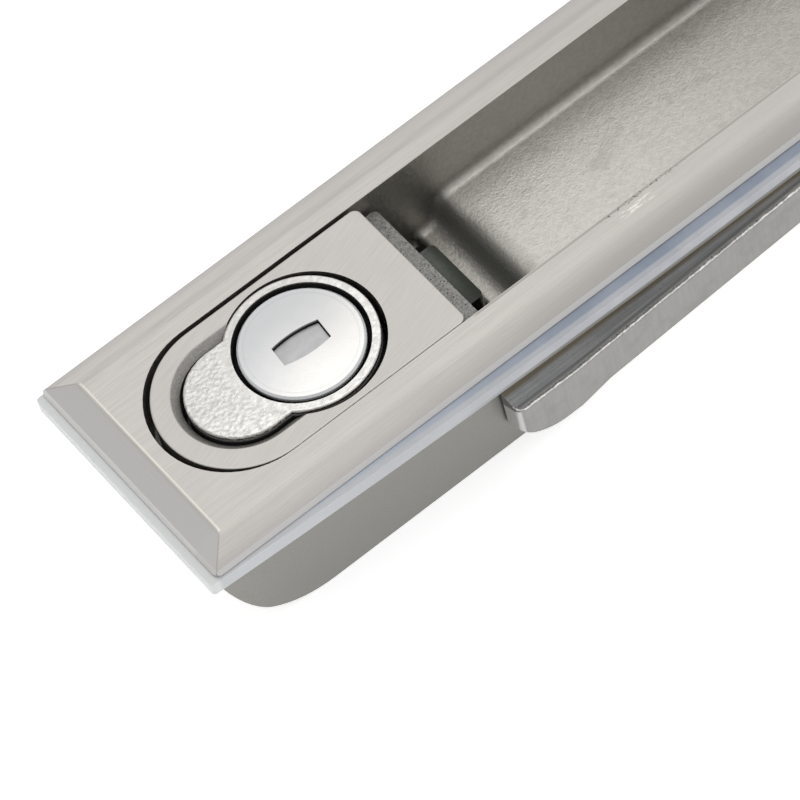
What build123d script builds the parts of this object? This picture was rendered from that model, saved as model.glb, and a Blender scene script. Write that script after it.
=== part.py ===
from build123d import *
import math
import os

# Flush swing-handle lock with a push button and a key lock, cast in stainless steel.
# Millimetres. +Z points out of the panel, z = 0 is the panel's face under the gasket.
# X runs along the lock from the keyed end to the spindle end, and x = 0 is mid-length.
# It is built as it stands open: the handle raised and turned across the lock.

# ---- flange and gasket ----
length = 140.0              # flange, end to end
width = 34.0                # flange, side to side
corner_r = 0.9              # plan corners of the flange
land = 0.2                  # upright edge at the foot
band_h = 0.6                # height of the steep band above it
band_w = 0.45               # plan width of that band
bevel_h = 1.5               # height of the bevel
bevel_w = 3.1               # plan width of the bevel
roll_r = 3.0                # soft roll from the face into the side bevels
gasket_t = 2.0              # soft gasket under the flange
gasket_end = 1.0            # gasket past the flange at both ends
gasket_lip = 0.2            # gasket past the flange's -Y side at the corners
gasket_bow = 2.0            # gasket past that side at mid-length
gasket_in = 0.3             # gasket inside the flange's other side
gasket_corner_r = 0.5
gasket_fit = 0.4            # gasket hole round the body
seat_z = gasket_t           # underside of the flange
past = 1.0                  # how far a cut runs past the face that it opens
near_zero = 1e-4
face_z = gasket_t + land + band_h + bevel_h

# ---- opening in the face ----
half = 10.8                 # half width of the opening, and radius of its round ends
near_c = 16.1               # centre of the near round end, from the keyed end
spindle_end = 18.0          # spindle axis, from the far end
spindle_d = length - spindle_end

# ---- body behind the flange ----
body_half = 12.5            # half width of the body
body_near = 2.0             # near end of the body, from the keyed end
body_end_r = 5.0            # upright corners of the near end
wall = 2.0                  # floor and end walls
case_depth = 24.8           # underside of the lock case, below the face
prow_r = 13.3               # rounded lower edge of the near end
shelf_top = 7.3             # shelf under the button, below the face
shelf_t = 1.6               # thickness of that shelf
shelf_far = 40.2            # far end of the shelf, from the keyed end
dish_depth = 9.0            # dish floor, below the face
dish_fillet = 1.2           # fillet at the foot of the dish's walls
lip_depth = 13.0            # top of the wall that ends the lock case, below the face
lip_near = 47.6             # near side of that wall, from the keyed end
lip_len = 2.7               # top of that wall, along the lock
lip_far = lip_near + lip_len
slope_run = 1.7             # slope that climbs from there to the dish floor
slope_top = lip_far + slope_run
case_end = 1.0              # far end of the lock case, outside, past the slope
case_far = slope_top + case_end
lip_r = 0.8                 # rounding of the lip's edge
foot_r = 2.4                # hollow at the foot of the slope
brow_r = 2.2                # rounding at the top of the slope
case_half = 10.3            # half width of the lock case inside
prow_in_r = prow_r - wall   # inside of the rounded lower edge
end_in_r = body_end_r - wall      # inside of the upright corners

# ---- spindle bearing ----
boss_r = 9.0
boss_depth = 13.4           # underside of the spindle boss, below the face
shaft_r = 4.0
shaft_gap = 0.05            # running clearance round the shaft
bush_r = 6.0
bush_lip_r = 8.0
bush_lip_t = 0.8
stop_pin_r = 1.25
stop_pin_at = 7.4           # stop pin from the spindle axis
stop_pin_in = 2.5           # length pressed into the boss
stop_pin_out = 1.6          # length standing out below

# ---- tapped clamp holes ----
clamp_pitch = 38.0
clamp_boss_r = 4.2
clamp_boss_depth = 17.0     # mouth of the bosses, below the face
clamp_hole_r = 1.65         # tapped M4
clamp_hole_deep = 5.5

# ---- case cover and its screws ----
cover_near = 17.0
cover_far = 46.0
cover_half = 9.2
cover_t = 1.4
cover_gap = 0.1
cover_rim = 1.2             # width of the rebate that the cover sits on
rebate_t = 0.6              # metal left under the cover's edge
cover_screw_inset = 2.2
screw_r = 1.25
screw_head_r = 2.0
screw_head_t = 0.7
hex_af = 1.5                # hex socket, across flats
hex_deep = 0.9

# ---- push button ----
button_gap = 0.3            # mean gap between the button and the opening
button_dx = 0.45            # the button's round end sits this far towards the spindle
button_dy = -0.2            # and the whole button this far to one side
button_edge_r = 0.2         # rounded upper edge
button_end = 41.15          # far edge of the plate, from the keyed end
button_corner_r = 1.0
plate_t = 2.9               # plate, above the ledge
ledge_end = 43.45           # far edge of the ledge
ledge_t = 1.8
ledge_corner_r = 0.7
travel = 2.5                # button stroke
well_gap = 0.42             # hole round the lock ring
well_off = 0.25              # that hole sits this far off the ring, both ways
lobe_well_gap = 0.5         # hole round the lobe
lobe_sink_w = 1.0           # sloping mouth of that hole
lobe_sink_t = 0.9
wedge_half = 2.0
wedge_drop = 4.2            # foot of the wedge below the button
guide_r = 1.2
guide_gap = 0.05
guide_near_d = 8.1
guide_far_d = 37.2
guide_far_y = 7.9
guide_len = 7.0
guide_in = 1.5
clip_r = 1.9
clip_t = 0.6
clip_mouth = 0.6            # half width of the clips' opening
groove_r = 0.9              # pins inside their clips
button_spring_r = 1.0
spring_wire = 0.45
spring_from_pin = (3.9, -6.2)     # springs from the near and the far guide pins
button_spring_y = (8.6, 9.0)
button_spring_turns = 3

# ---- lock insert, plug and shutter ----
ring_d = 25.4               # plug axis, from the keyed end
ring_r = 9.2
ring_bore_r = 8.15          # gap round the plug's face
lobe_d = 16.6
lobe_r = 6.6
insert_edge_r = 0.3
tube_r = 6.8
tail_room = 6.6             # from the lower end of the barrel tube to the underside of the case
tube_depth = case_depth - tail_room
tube_fit = 0.05
plug_face_r = 7.5
plug_low = 0.0              # plug face below the ring
plug_face_t = 2.2
plug_chamfer = 0.25
face_well = 2.6             # depth of the counterbore round the plug's face
plug_r = 5.4
plug_gap = 0.05
key_len = 6.3
key_w = 2.9
key_bulge = 0.4            # rise of the slot's long sides
key_cant = -5.0             # the slot stands a little off the lock's length
key_deep = 12.0
shutter_low = 0.55
shutter_t = 1.2
shutter_gap = 0.12
shutter_stroke = 2.0
shutter_spring_len = 6.5
shutter_spring_r = 1.0
shutter_spring_turns = 4
plug_out = 0.2              # barrel past the tube's lower end
tail_r = 2.5
tail_len = 2.6
tail_flat = 3.6
tail_gap = 0.1
cam_t = 1.2
cam_w = 5.0
cam_hub_r = 4.5
tail_head_r = 3.5           # head of the tail screw
cam_clear = 0.5             # tail cam to the sides of the case
cam_reach = case_half - cam_clear - cam_w / 2
insert_screw_y = 3.2
insert_screw_d = 14.5
insert_screw_up = 5.0

# ---- spring catch ----
catch_top = 7.4             # below the face
catch_t = 3.0
catch_half = 4.85
catch_clear = 0.8           # catch to the lock ring
catch_near = ring_d + ring_r + catch_clear
catch_len = 11.3
catch_nose = catch_near + catch_len
catch_corner_r = 0.7
catch_travel = 2.0
window_in = 2.0             # top of the slanted wall, from the catch's near end
window_near = catch_near + window_in
window_len = 5.8
window_far = window_near + window_len
window_half = 2.3
wedge_gap = 0.08
wedge_room = 0.2            # past the wedge when the catch is drawn back
wedge_far = window_far - catch_travel - wedge_room
tray_gap = 0.08
tray_wall = 0.8
tray_back = 4.1             # end of the tray, behind the catch's nose
tray_far = catch_nose - tray_back
catch_spring_r = 1.2
catch_spring_wire = 0.35
catch_spring_turns = 4
catch_pocket_r = 1.5
catch_pocket_deep = 1.5

# ---- spindle, pivot pin and springs ----
head_r = 9.6
head_t = 2.0
washer_t = 0.25
washer_gap = 0.05
washer_in = 0.5             # washer inside the head's edge
pivot_z = 2.0
pin_r = 1.5
pin_gap = 0.05
ear_in = 5.2
ear_t = 2.0
ear_r = 4.4
square = 6.4                # spindle square, across flats
square_gap = 0.05
square_short = 0.3          # square's end inside the cam's underside
shoulder_up = 0.1           # shaft's shoulder above the cam
tongue_half = 2.5
tongue_r = 4.2
pop_wire = 0.45
pop_r = 2.1
pop_turns = 4

# ---- latch cam ----
cam_drop = 0.6              # gap between the spindle boss and the cam
cam_top = boss_depth + cam_drop
cam_thick = 6.3             # arm and hub
belly_thick = 7.1           # finger, at its deepest
cam_tip_thick = 4.2         # finger, at the outer corner of its tip
cam_tip = 41.5              # tip of the cam, from the keyed end
belly_from = 47.0           # deepest stretch of the finger, from the keyed end
belly_to = 49.6
belly_run = 4.4             # length over which the belly thins to the arm
belly_r = 3.0               # rounding of the belly's corners
nose_tilt = 0.6             # the nose's bevel deepens inwards, per unit of width
nose_sag = 0.25             # bulge of that bevel, as a share of its rise
finger_corner_r = 1.2
finger_t = 3.55             # width of the finger
finger_gap = 0.35           # finger to the side of the lock case
finger_in = body_half + finger_gap
cam_out_tip = finger_in + finger_t
cam_out_hub = 13.3          # outer edge from the centre line, at the spindle
crank_gap = 0.5             # crank to the far end of the lock case
crank_far = case_far + crank_gap      # where the crank starts
arm_in = 5.6                # inner edge of the arm
arm_to_hub = 16.0           # where the arm meets the hub, from the spindle axis
hub_r = 12.0
hub_flank = 0.5             # inner flank of the hub, as a share of its radius
hub_reach = 0.8             # where that flank starts, as a share of the radius
track_spare = 5.0           # stop track past the stop pin's ends of travel, degrees
track_w = 1.6
track_deep = 1.9
cam_washer_r = 6.5
cam_washer_t = 1.2
cam_screw_r = 2.1
thread_gap = 0.05
cam_washer_gap = 0.1
cam_head_r = 3.6
cam_head_t = 3.2
cam_hex_af = 3.0
cam_screw_in = 9.0

# ---- handle ----
lift = 25.0                 # raised angle of the handle
swing = 90.0                # turn from shut to open
handle_half = 8.5
handle_top = 7.4
bridge_low = 4.7            # underside where it crosses the flange
bridge_from = 9.6
bridge_gap = 1.2            # past the flange's edge
bridge_to = width / 2 + bridge_gap
grip_low = 0.4
root_low = 0.4
root_r = 10.3
tongue_to = 7.4
nose_at = 41.8              # end of the shut handle, from the keyed end
hook_root = 14.2            # length of the hook's narrowed sides
nose_low = 1.75
shank_gap = 0.5             # shank of the hook to the catch
shank_far = catch_nose + shank_gap - nose_at    # shank, from the handle's end
shank_t = 2.0
shank_near = shank_far + shank_t
toe_grip = 1.2              # toe under the catch, along the lock
toe_from = catch_nose - toe_grip - nose_at      # tip of the toe, from the handle's end
toe_gap = 0.4               # toe under the catch
toe_t = 1.8
hook_half = 8.0
handle_edge_r = 1.2
nose_round_r = 2.4
toe_round_r = 0.6
scoop_from = 24.0           # scoop, from the spindle axis
scoop_end = 18.2            # and its other end, from the handle's end
scoop_half = 6.2
scoop_deep = 5.0
scoop_corner_r = 2.4


def at(d):
    """x of a point that is d from the keyed end."""
    return d - length / 2


def below(h):
    """z of a point that is h below the face."""
    return face_z - h


def slab(x0, x1, y0, y1, z0, z1):
    return Pos((x0 + x1) / 2, (y0 + y1) / 2, (z0 + z1) / 2) * Box(x1 - x0, y1 - y0, z1 - z0)


def rod(r, x, y, z0, z1):
    return Pos(x, y, (z0 + z1) / 2) * Cylinder(r, z1 - z0)


def plate(face, z0, z1):
    """A flat outline in plan, raised from z0 to z1."""
    return Pos(0, 0, z0) * extrude(face, amount=z1 - z0)


def stadium(x0, x1, r):
    """Plan outline with two round ends centred at x0 and x1."""
    middle = Pos((x0 + x1) / 2, 0) * Rectangle(x1 - x0, 2 * r)
    return middle + Pos(x0, 0) * Circle(r) + Pos(x1, 0) * Circle(r)


def side_face(points, rounds=()):
    """A face in the X-Z plane, with some of its corners rounded."""
    face = make_face(Polyline([*points, points[0]]))
    for (x, z), radius in rounds:
        corner = face.vertices().sort_by(lambda v: abs(v.X - x) + abs(v.Y - z))[0]
        face = fillet(corner, radius)
    return face


def side_prism(face, half_width):
    """An X-Z face made solid to both sides of the centre line."""
    return extrude(Plane.XZ * face, amount=half_width, both=True)


def coil(r, wire, pitch, height):
    path = Helix(pitch=pitch, height=height, radius=r)
    section = Plane(origin=path @ 0, z_dir=path % 0) * Circle(wire / 2)
    return sweep(section, path=path, is_frenet=True)


# ---------------------------------------------------------------- base

def rim_section(inset, z):
    """Outline of the flange, drawn in by inset, at height z."""
    return (Pos(0, 0, z) * Rectangle(length - 2 * inset, width - 2 * inset)).face()


def flange():
    """Bevelled plate with mitred corners, a steep band at its foot and rolled long sides."""
    foot = seat_z + land
    solid = plate(Rectangle(length, width), seat_z, foot)
    solid += loft([rim_section(0, foot), rim_section(band_w, foot + band_h)])
    solid += loft([rim_section(band_w, foot + band_h), rim_section(band_w + bevel_w, face_z)])
    creases = solid.edges().filter_by(Axis.X).group_by(Axis.Z)[-1]
    solid = fillet(creases, roll_r)
    return solid & plate(RectangleRounded(length, width, corner_r), seat_z, face_z)


def case_shell():
    """Deep end of the body, with a prow-like lower edge at the keyed end."""
    block = slab(at(body_near), at(case_far), -body_half, body_half, below(case_depth), seat_z)
    near = block.edges().filter_by(Axis.Z).sort_by(Axis.X)[:2]
    block = fillet(near, body_end_r)
    tool_box = slab(
        at(body_near) - past, at(body_near) + prow_r, -width, width,
        below(case_depth) - past, below(case_depth) + prow_r)
    tool = tool_box - Pos(at(body_near) + prow_r, 0, below(case_depth) + prow_r) * Rot(
        90, 0, 0) * Cylinder(prow_r, 2 * width + past)
    return block - tool


def dish_shell():
    """Shallow end of the body, under the dish, with the bosses on its back."""
    under = below(dish_depth + wall)
    plan = Pos((at(lip_near) + at(spindle_d)) / 2, 0) * Rectangle(
        spindle_d - lip_near, 2 * body_half)
    plan = plan + Pos(at(spindle_d), 0) * Circle(body_half)
    shell = plate(plan, under, seat_z)
    shell += rod(boss_r, at(spindle_d), 0, below(boss_depth), under)
    for x in clamp_places():
        shell += rod(clamp_boss_r, x, 0, below(clamp_boss_depth), under)
    return shell


def clamp_places():
    middle = at((slope_top + spindle_d - hub_r) / 2)
    return (middle - clamp_pitch / 2, middle + clamp_pitch / 2)


def dish_void():
    """The dish, the slope down from its floor and the pocket for the handle's hook."""
    deep = below(lip_depth) - 2 * lip_r
    over = face_z + past
    lip = (at(lip_near), below(lip_depth))
    foot = (at(lip_far), below(lip_depth))
    brow = (at(slope_top), below(dish_depth))
    points = [
        (at(button_end), over),
        (at(button_end), deep),
        (at(lip_near), deep),
        lip,
        foot,
        brow,
        (at(spindle_d), below(dish_depth)),
        (at(spindle_d), over),
    ]
    rounds = ((lip, lip_r), (foot, foot_r), (brow, brow_r))
    void = side_prism(side_face(points, rounds), half)
    void += rod(half, at(spindle_d), 0, below(dish_depth), over)
    return fillet(void.edges().filter_by(lambda e: at_dish_foot(e)), dish_fillet)


def at_dish_foot(edge):
    """True for the line where the dish's walls meet the lip, the slope and the floor."""
    box = edge.bounding_box()
    level = box.max.Z < below(dish_depth) + near_zero
    beyond_lip = box.min.X > at(lip_near) - near_zero and box.min.Z > below(lip_depth) - near_zero
    side = abs(abs(edge.center().Y) - half) < near_zero and box.max.Y - box.min.Y < near_zero
    around = box.max.X > at(spindle_d) + half / 2
    return level and beyond_lip and (side or around)


def button_void():
    plan = stadium(at(near_c), at(lip_near) - half, half)
    square_end = Pos(at(lip_near) - half / 2, 0) * Rectangle(half, 2 * half)
    return plate(plan + square_end, below(shelf_top), face_z + past)


def case_void():
    """Inside of the lock case, under the shelf, with the rebated hole for its cover."""
    top = below(shelf_top + shelf_t)
    floor = below(case_depth - wall)
    room = slab(at(body_near + wall), at(lip_near), -case_half, case_half, floor, top)
    low = room.edges().filter_by(Axis.Y).group_by(Axis.Z)[0].sort_by(Axis.X)[0]
    room = fillet(low, prow_in_r)
    near = room.edges().filter_by(Axis.Z).group_by(Axis.X)[0]
    room = fillet(near, end_in_r)
    tray_near = at(catch_near - catch_travel - tray_gap - tray_wall)
    tray_side = catch_half + tray_gap + tray_wall
    room += slab(tray_near, at(lip_near), -tray_side, tray_side, floor, below(shelf_top) + past)
    room += slab(at(shelf_far), at(lip_near), -case_half, case_half, floor, below(shelf_top) + past)
    hatch = slab(at(cover_near), at(cover_far), -cover_half, cover_half,
                 below(case_depth), floor)
    inner = slab(at(cover_near + cover_rim), at(cover_far - cover_rim),
                 -cover_half + cover_rim, cover_half - cover_rim, below(case_depth), floor)
    ledge = plate(Pos(at((cover_near + cover_far) / 2), 0) * Rectangle(
        cover_far - cover_near, 2 * cover_half), below(case_depth), below(case_depth) + cover_t)
    return room + (hatch & ledge) + inner


def base_housing():
    solid = flange() + case_shell() + dish_shell()
    solid -= dish_void()
    solid -= button_void()
    solid -= case_void()
    solid -= rod(tube_r + tube_fit, at(ring_d), 0, below(shelf_top + shelf_t) - past, face_z)
    solid -= rod(bush_r, at(spindle_d), 0, below(boss_depth) - past, face_z)
    solid -= rod(bush_lip_r, at(spindle_d), 0, below(dish_depth) - bush_lip_t, face_z)
    solid -= stop_pin()
    for x in clamp_places():
        mouth = below(clamp_boss_depth)
        solid -= rod(clamp_hole_r, x, 0, mouth - past, mouth + clamp_hole_deep)
    for x, y in guide_places():
        solid -= rod(guide_r + guide_gap, x, y, below(shelf_top + shelf_t) - past, face_z)
    for x, y in insert_screw_places():
        solid -= rod(screw_r, x, y, below(shelf_top + shelf_t) - past, face_z)
    for x, y in cover_screw_places():
        solid -= rod(screw_r, x, y, below(case_depth), below(case_depth - cover_t) + wall)
    return solid


def flange_gasket():
    """Soft sheet, pushed to one side, where it swells past the flange."""
    x = length / 2 + gasket_end
    y = width / 2 + gasket_lip
    bow = width / 2 + gasket_bow
    other = width / 2 - gasket_in
    outline = (
        Line((-x, -y), (-x, other))
        + Line((-x, other), (x, other))
        + Line((x, other), (x, -y))
        + ThreePointArc((x, -y), (0, -bow), (-x, -y))
    )
    sheet = plate(make_face(outline), 0, gasket_t)
    sheet = fillet(sheet.edges().filter_by(Axis.Z), gasket_corner_r)
    far = Pos(at(spindle_d), 0) * Circle(body_half + gasket_fit)
    near = at(body_near) - gasket_fit
    long = Pos((near + at(spindle_d)) / 2, 0) * Rectangle(
        at(spindle_d) - near, 2 * (body_half + gasket_fit))
    return sheet - plate(far + long, -past, gasket_t + past)


# ---------------------------------------------------------------- key lock

def insert_outline():
    lobe = Pos(at(lobe_d), 0) * Circle(lobe_r)
    neck = Pos(at((lobe_d + ring_d) / 2), 0) * Rectangle(ring_d - lobe_d, 2 * lobe_r)
    return lobe + neck + Pos(at(ring_d), 0) * Circle(ring_r)


def lock_insert():
    """Round collar with a lobe on the keyed side, on the tube that holds the plug."""
    foot = below(shelf_top)
    solid = plate(insert_outline(), foot, face_z)
    solid = fillet(solid.edges().group_by(Axis.Z)[-1], insert_edge_r)
    solid += rod(tube_r, at(ring_d), 0, below(tube_depth), foot)
    solid -= rod(ring_bore_r, at(ring_d), 0, below(face_well), face_z + past)
    solid -= rod(plug_r + plug_gap, at(ring_d), 0, below(tube_depth) - past, face_z)
    for x, y in insert_screw_places():
        solid -= rod(screw_r, x, y, foot - past, foot + insert_screw_up)
    return solid


def insert_screw_places():
    return [(at(insert_screw_d), side * insert_screw_y) for side in (-1, 1)]


def cap_screw(x, y, seat, length_in, head_r, head_t):
    """Socket screw that points up, its head below the seat."""
    shank = rod(screw_r, x, y, seat, seat + length_in)
    head = rod(head_r, x, y, seat - head_t, seat)
    socket = Pos(x, y, seat - head_t) * extrude(RegularPolygon(hex_af / 2, 6, major_radius=False),
                                               amount=hex_deep)
    return shank + head - socket


def insert_screws():
    seat = below(shelf_top + shelf_t)
    return Compound([
        cap_screw(x, y, seat, insert_screw_up + shelf_t, screw_head_r, 2 * screw_head_t)
        for x, y in insert_screw_places()])


def key_slot(grow):
    """Plan of the key slot, with its long sides slightly arched."""
    a = key_len / 2 + grow
    b = key_w / 2 + grow
    outline = (
        Line((-a, -b), (-a, b))
        + ThreePointArc((-a, b), (0, b + key_bulge), (a, b))
        + Line((a, b), (a, -b))
        + ThreePointArc((a, -b), (0, -b - key_bulge), (-a, -b))
    )
    return Pos(at(ring_d), 0) * Rot(0, 0, key_cant) * make_face(outline)


def plug_barrel():
    top = below(plug_low)
    face = rod(plug_face_r, at(ring_d), 0, top - plug_face_t, top)
    rim = face.edges().filter_by(GeomType.CIRCLE).group_by(Axis.Z)[-1]
    face = chamfer(rim, plug_chamfer)
    solid = face + rod(plug_r, at(ring_d), 0, below(tube_depth + plug_out), top - plug_face_t)
    tail = rod(tail_r, at(ring_d), 0, below(tube_depth) - tail_len, below(tube_depth))
    flats = slab(at(ring_d) - tail_flat / 2, at(ring_d) + tail_flat / 2, -tail_r, tail_r,
                 below(tube_depth) - tail_len, below(tube_depth))
    solid += tail & flats
    solid -= plate(key_slot(0), top - key_deep, top + past)
    solid -= rod(screw_r, at(ring_d), 0, below(tube_depth) - tail_len, below(tube_depth) + past)
    return solid


def keyhole_shutter():
    """Spring flap that closes the key slot just under the face."""
    top = below(plug_low + shutter_low)
    return plate(key_slot(-shutter_gap), top - shutter_t, top)


def shutter_spring():
    top = below(plug_low + shutter_low) - shutter_t
    pitch = shutter_spring_len / shutter_spring_turns
    spring = coil(shutter_spring_r, catch_spring_wire, pitch, shutter_spring_len)
    return Pos(at(ring_d), 0, top - shutter_spring_len - spring_wire) * spring


def tail_cam():
    """Lever on the plug's tail."""
    z1 = below(tube_depth + plug_out + tail_gap)
    z0 = z1 - cam_t
    arm = Pos(at(ring_d) - cam_reach / 2, 0) * Rectangle(cam_reach, cam_w)
    tip = Pos(at(ring_d) - cam_reach, 0) * Circle(cam_w / 2)
    hub = Pos(at(ring_d), 0) * Circle(cam_hub_r)
    solid = plate(hub + arm + tip, z0, z1)
    hole = rod(tail_r, at(ring_d), 0, z0, z1) & slab(
        at(ring_d) - tail_flat / 2, at(ring_d) + tail_flat / 2, -tail_r, tail_r, z0, z1)
    return solid - hole


def tail_screw():
    seat = below(tube_depth) - tail_len
    screw = cap_screw(at(ring_d), 0, seat, tail_len, tail_head_r, screw_head_t)
    return screw


# ---------------------------------------------------------------- button and catch

def button_outline():
    r = half - button_gap
    x0 = at(near_c) + button_dx
    tail = Pos((x0 + at(button_end)) / 2, 0) * Rectangle(at(button_end) - x0, 2 * r)
    return tail + Pos(x0, 0) * Circle(r)


def push_button():
    """Plate round the lock, with a lower ledge and a wedge for the catch."""
    ledge_top = below(plate_t)
    foot = ledge_top - ledge_t
    solid = plate(button_outline(), foot, face_z)
    far = solid.edges().filter_by(Axis.Z).sort_by(Axis.X)[-2:]
    solid = fillet(far, button_corner_r)
    solid = fillet(solid.edges().group_by(Axis.Z)[-1], button_edge_r)
    r = half - button_gap
    ledge = slab(at(near_c), at(ledge_end), -r, r, foot, ledge_top)
    ledge = fillet(ledge.edges().filter_by(Axis.Z).sort_by(Axis.X)[-2:], ledge_corner_r)
    solid += ledge
    solid = Pos(0, button_dy, 0) * solid
    solid -= rod(ring_r + well_gap, at(ring_d) + well_off, -well_off, foot - past, face_z + past)
    solid -= lobe_well(foot)
    solid += button_wedge()
    for x, y in guide_places():
        solid -= rod(guide_r, x, y, foot - past, foot + guide_in)
    return solid


def lobe_well(foot):
    """Hole round the lobe, with a sloping mouth."""
    r = lobe_r + lobe_well_gap
    neck_x = at((lobe_d + ring_d) / 2)
    neck = Rectangle(ring_d - lobe_d, 2 * r)
    hole = plate(Pos(at(lobe_d), 0) * Circle(r) + Pos(neck_x, 0) * neck, foot - past, face_z + past)
    cone = Pos(at(lobe_d), 0, face_z - lobe_sink_t / 2) * Cone(r, r + lobe_sink_w, lobe_sink_t)
    wide = Rectangle(ring_d - lobe_d, 2 * (r + lobe_sink_w))
    ramp = loft([
        (Pos(neck_x, 0, face_z - lobe_sink_t) * neck).face(),
        (Pos(neck_x, 0, face_z) * wide).face(),
    ])
    return hole + cone + ramp


def slant():
    """Run of the wedge per unit of drop."""
    return catch_travel / travel


def button_wedge():
    foot = below(plate_t + ledge_t)
    low = foot - wedge_drop
    start = window_near + wedge_gap - slant() * (foot - below(catch_top))
    points = [
        (at(start), foot),
        (at(start + slant() * wedge_drop), low),
        (at(wedge_far), low),
        (at(wedge_far), foot + ledge_t / 2),
        (at(start), foot + ledge_t / 2),
    ]
    return side_prism(side_face(points), wedge_half)


def guide_places():
    far = [(at(guide_far_d), side * guide_far_y) for side in (-1, 1)]
    return [(at(guide_near_d), 0.0), *far]


def guide_pins():
    top = below(plate_t + ledge_t) + guide_in
    groove_z = top - guide_len + clip_t
    pins = []
    for x, y in guide_places():
        pin = rod(guide_r, x, y, top - guide_len, top)
        groove = rod(guide_r + past, x, y, groove_z, groove_z + clip_t) - rod(
            groove_r, x, y, groove_z, groove_z + clip_t)
        pins.append(pin - groove)
    return Compound(pins)


def guide_clips():
    top = below(plate_t + ledge_t) + guide_in
    z0 = top - guide_len + clip_t
    clips = []
    for x, y in guide_places():
        ring = rod(clip_r, x, y, z0, z0 + clip_t) - rod(groove_r, x, y, z0, z0 + clip_t)
        mouth = slab(x, x + 2 * clip_r, y - clip_mouth, y + clip_mouth, z0, z0 + clip_t)
        clips.append(ring - mouth)
    return Compound(clips)


def button_springs():
    foot = below(plate_t + ledge_t)
    floor = below(shelf_top)
    free = foot - floor - spring_wire
    springs = []
    pins = (guide_near_d, guide_far_d)
    for pin, step, y in zip(pins, spring_from_pin, button_spring_y):
        for side in (-1, 1):
            spring = coil(button_spring_r, spring_wire, free / button_spring_turns, free)
            springs.append(Pos(at(pin + step), side * y, floor + spring_wire / 2) * spring)
    return Compound(springs)


def catch_slide():
    """Spring catch with a slanted window for the button's wedge."""
    z1 = below(catch_top)
    z0 = z1 - catch_t
    body = slab(at(catch_near), at(catch_nose), -catch_half, catch_half, z0, z1)
    body = fillet(body.edges().filter_by(Axis.Z).sort_by(Axis.X)[-2:], catch_corner_r)
    points = [
        (at(window_near), z1),
        (at(window_near + slant() * catch_t), z0),
        (at(window_far), z0),
        (at(window_far), z1),
    ]
    body -= side_prism(side_face(points), window_half)
    z = (z0 + z1) / 2
    pocket = Pos(at(catch_near) + catch_pocket_deep / 2, 0, z) * Rot(0, 90, 0) * Cylinder(
        catch_pocket_r, catch_pocket_deep)
    return body - pocket


def catch_tray():
    """Folded tray that guides the catch."""
    z1 = below(catch_top)
    z0 = z1 - catch_t - tray_gap
    inner = catch_half + tray_gap
    near = catch_near - catch_travel - tray_gap
    tray = slab(at(near - tray_wall), at(tray_far), -inner - tray_wall, inner + tray_wall,
                z0 - tray_wall, z1)
    tray -= slab(at(near), at(tray_far) + past, -inner, inner, z0, z1 + past)
    tray -= slab(at(window_near), at(tray_far) + past, -window_half, window_half,
                 z0 - 2 * tray_wall, z1)
    return tray


def catch_spring():
    near = catch_near - catch_travel - tray_gap + catch_spring_wire / 2
    run = catch_near + catch_pocket_deep - near - catch_spring_wire / 2
    z = below(catch_top) - catch_t / 2
    spring = coil(catch_spring_r - catch_spring_wire / 2, catch_spring_wire, run / catch_spring_turns, run)
    return Pos(at(near), 0, z) * Rot(0, 90, 0) * spring


def cover_screw_places():
    xs = (at(cover_near + cover_screw_inset), at(cover_far - cover_screw_inset))
    y = cover_half - cover_screw_inset
    return [(x, side * y) for x in xs for side in (-1, 1)]


def case_cover():
    z0 = below(case_depth)
    lid = slab(at(cover_near) + cover_gap, at(cover_far) - cover_gap,
               -cover_half + cover_gap, cover_half - cover_gap, z0, z0 + cover_t)
    for x, y in cover_screw_places():
        lid -= rod(screw_r, x, y, z0 - past, z0 + cover_t + past)
        lid -= rod(screw_head_r + cover_gap, x, y, z0 - past, z0 + screw_head_t)
    return lid


def cover_screws():
    seat = below(case_depth) + screw_head_t
    return Compound([
        cap_screw(x, y, seat, wall - screw_head_t, screw_head_r, screw_head_t)
        for x, y in cover_screw_places()])


# ---------------------------------------------------------------- spindle

def spindle_bush():
    z0 = below(boss_depth)
    z1 = below(dish_depth)
    bush = rod(bush_r, at(spindle_d), 0, z0, z1)
    bush += rod(bush_lip_r, at(spindle_d), 0, z1 - bush_lip_t, z1)
    return bush - rod(shaft_r + shaft_gap, at(spindle_d), 0, z0 - past, z1 + past)


def thrust_washer():
    z0 = below(dish_depth)
    ring = rod(head_r - washer_in, at(spindle_d), 0, z0, z0 + washer_t)
    return ring - rod(shaft_r + 2 * shaft_gap, at(spindle_d), 0, z0 - past, z0 + past)


def stop_pin():
    z = below(boss_depth)
    angle = math.radians(180 + swing / 2)
    x = at(spindle_d) + stop_pin_at * math.cos(angle)
    y = stop_pin_at * math.sin(angle)
    return rod(stop_pin_r, x, y, z - stop_pin_out, z + stop_pin_in)


def turned_across(shape):
    """Turn a piece that is drawn along the lock to its open place across it."""
    axis = Axis((at(spindle_d), 0, 0), (0, 0, 1))
    return shape.rotate(axis, -swing)


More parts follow.
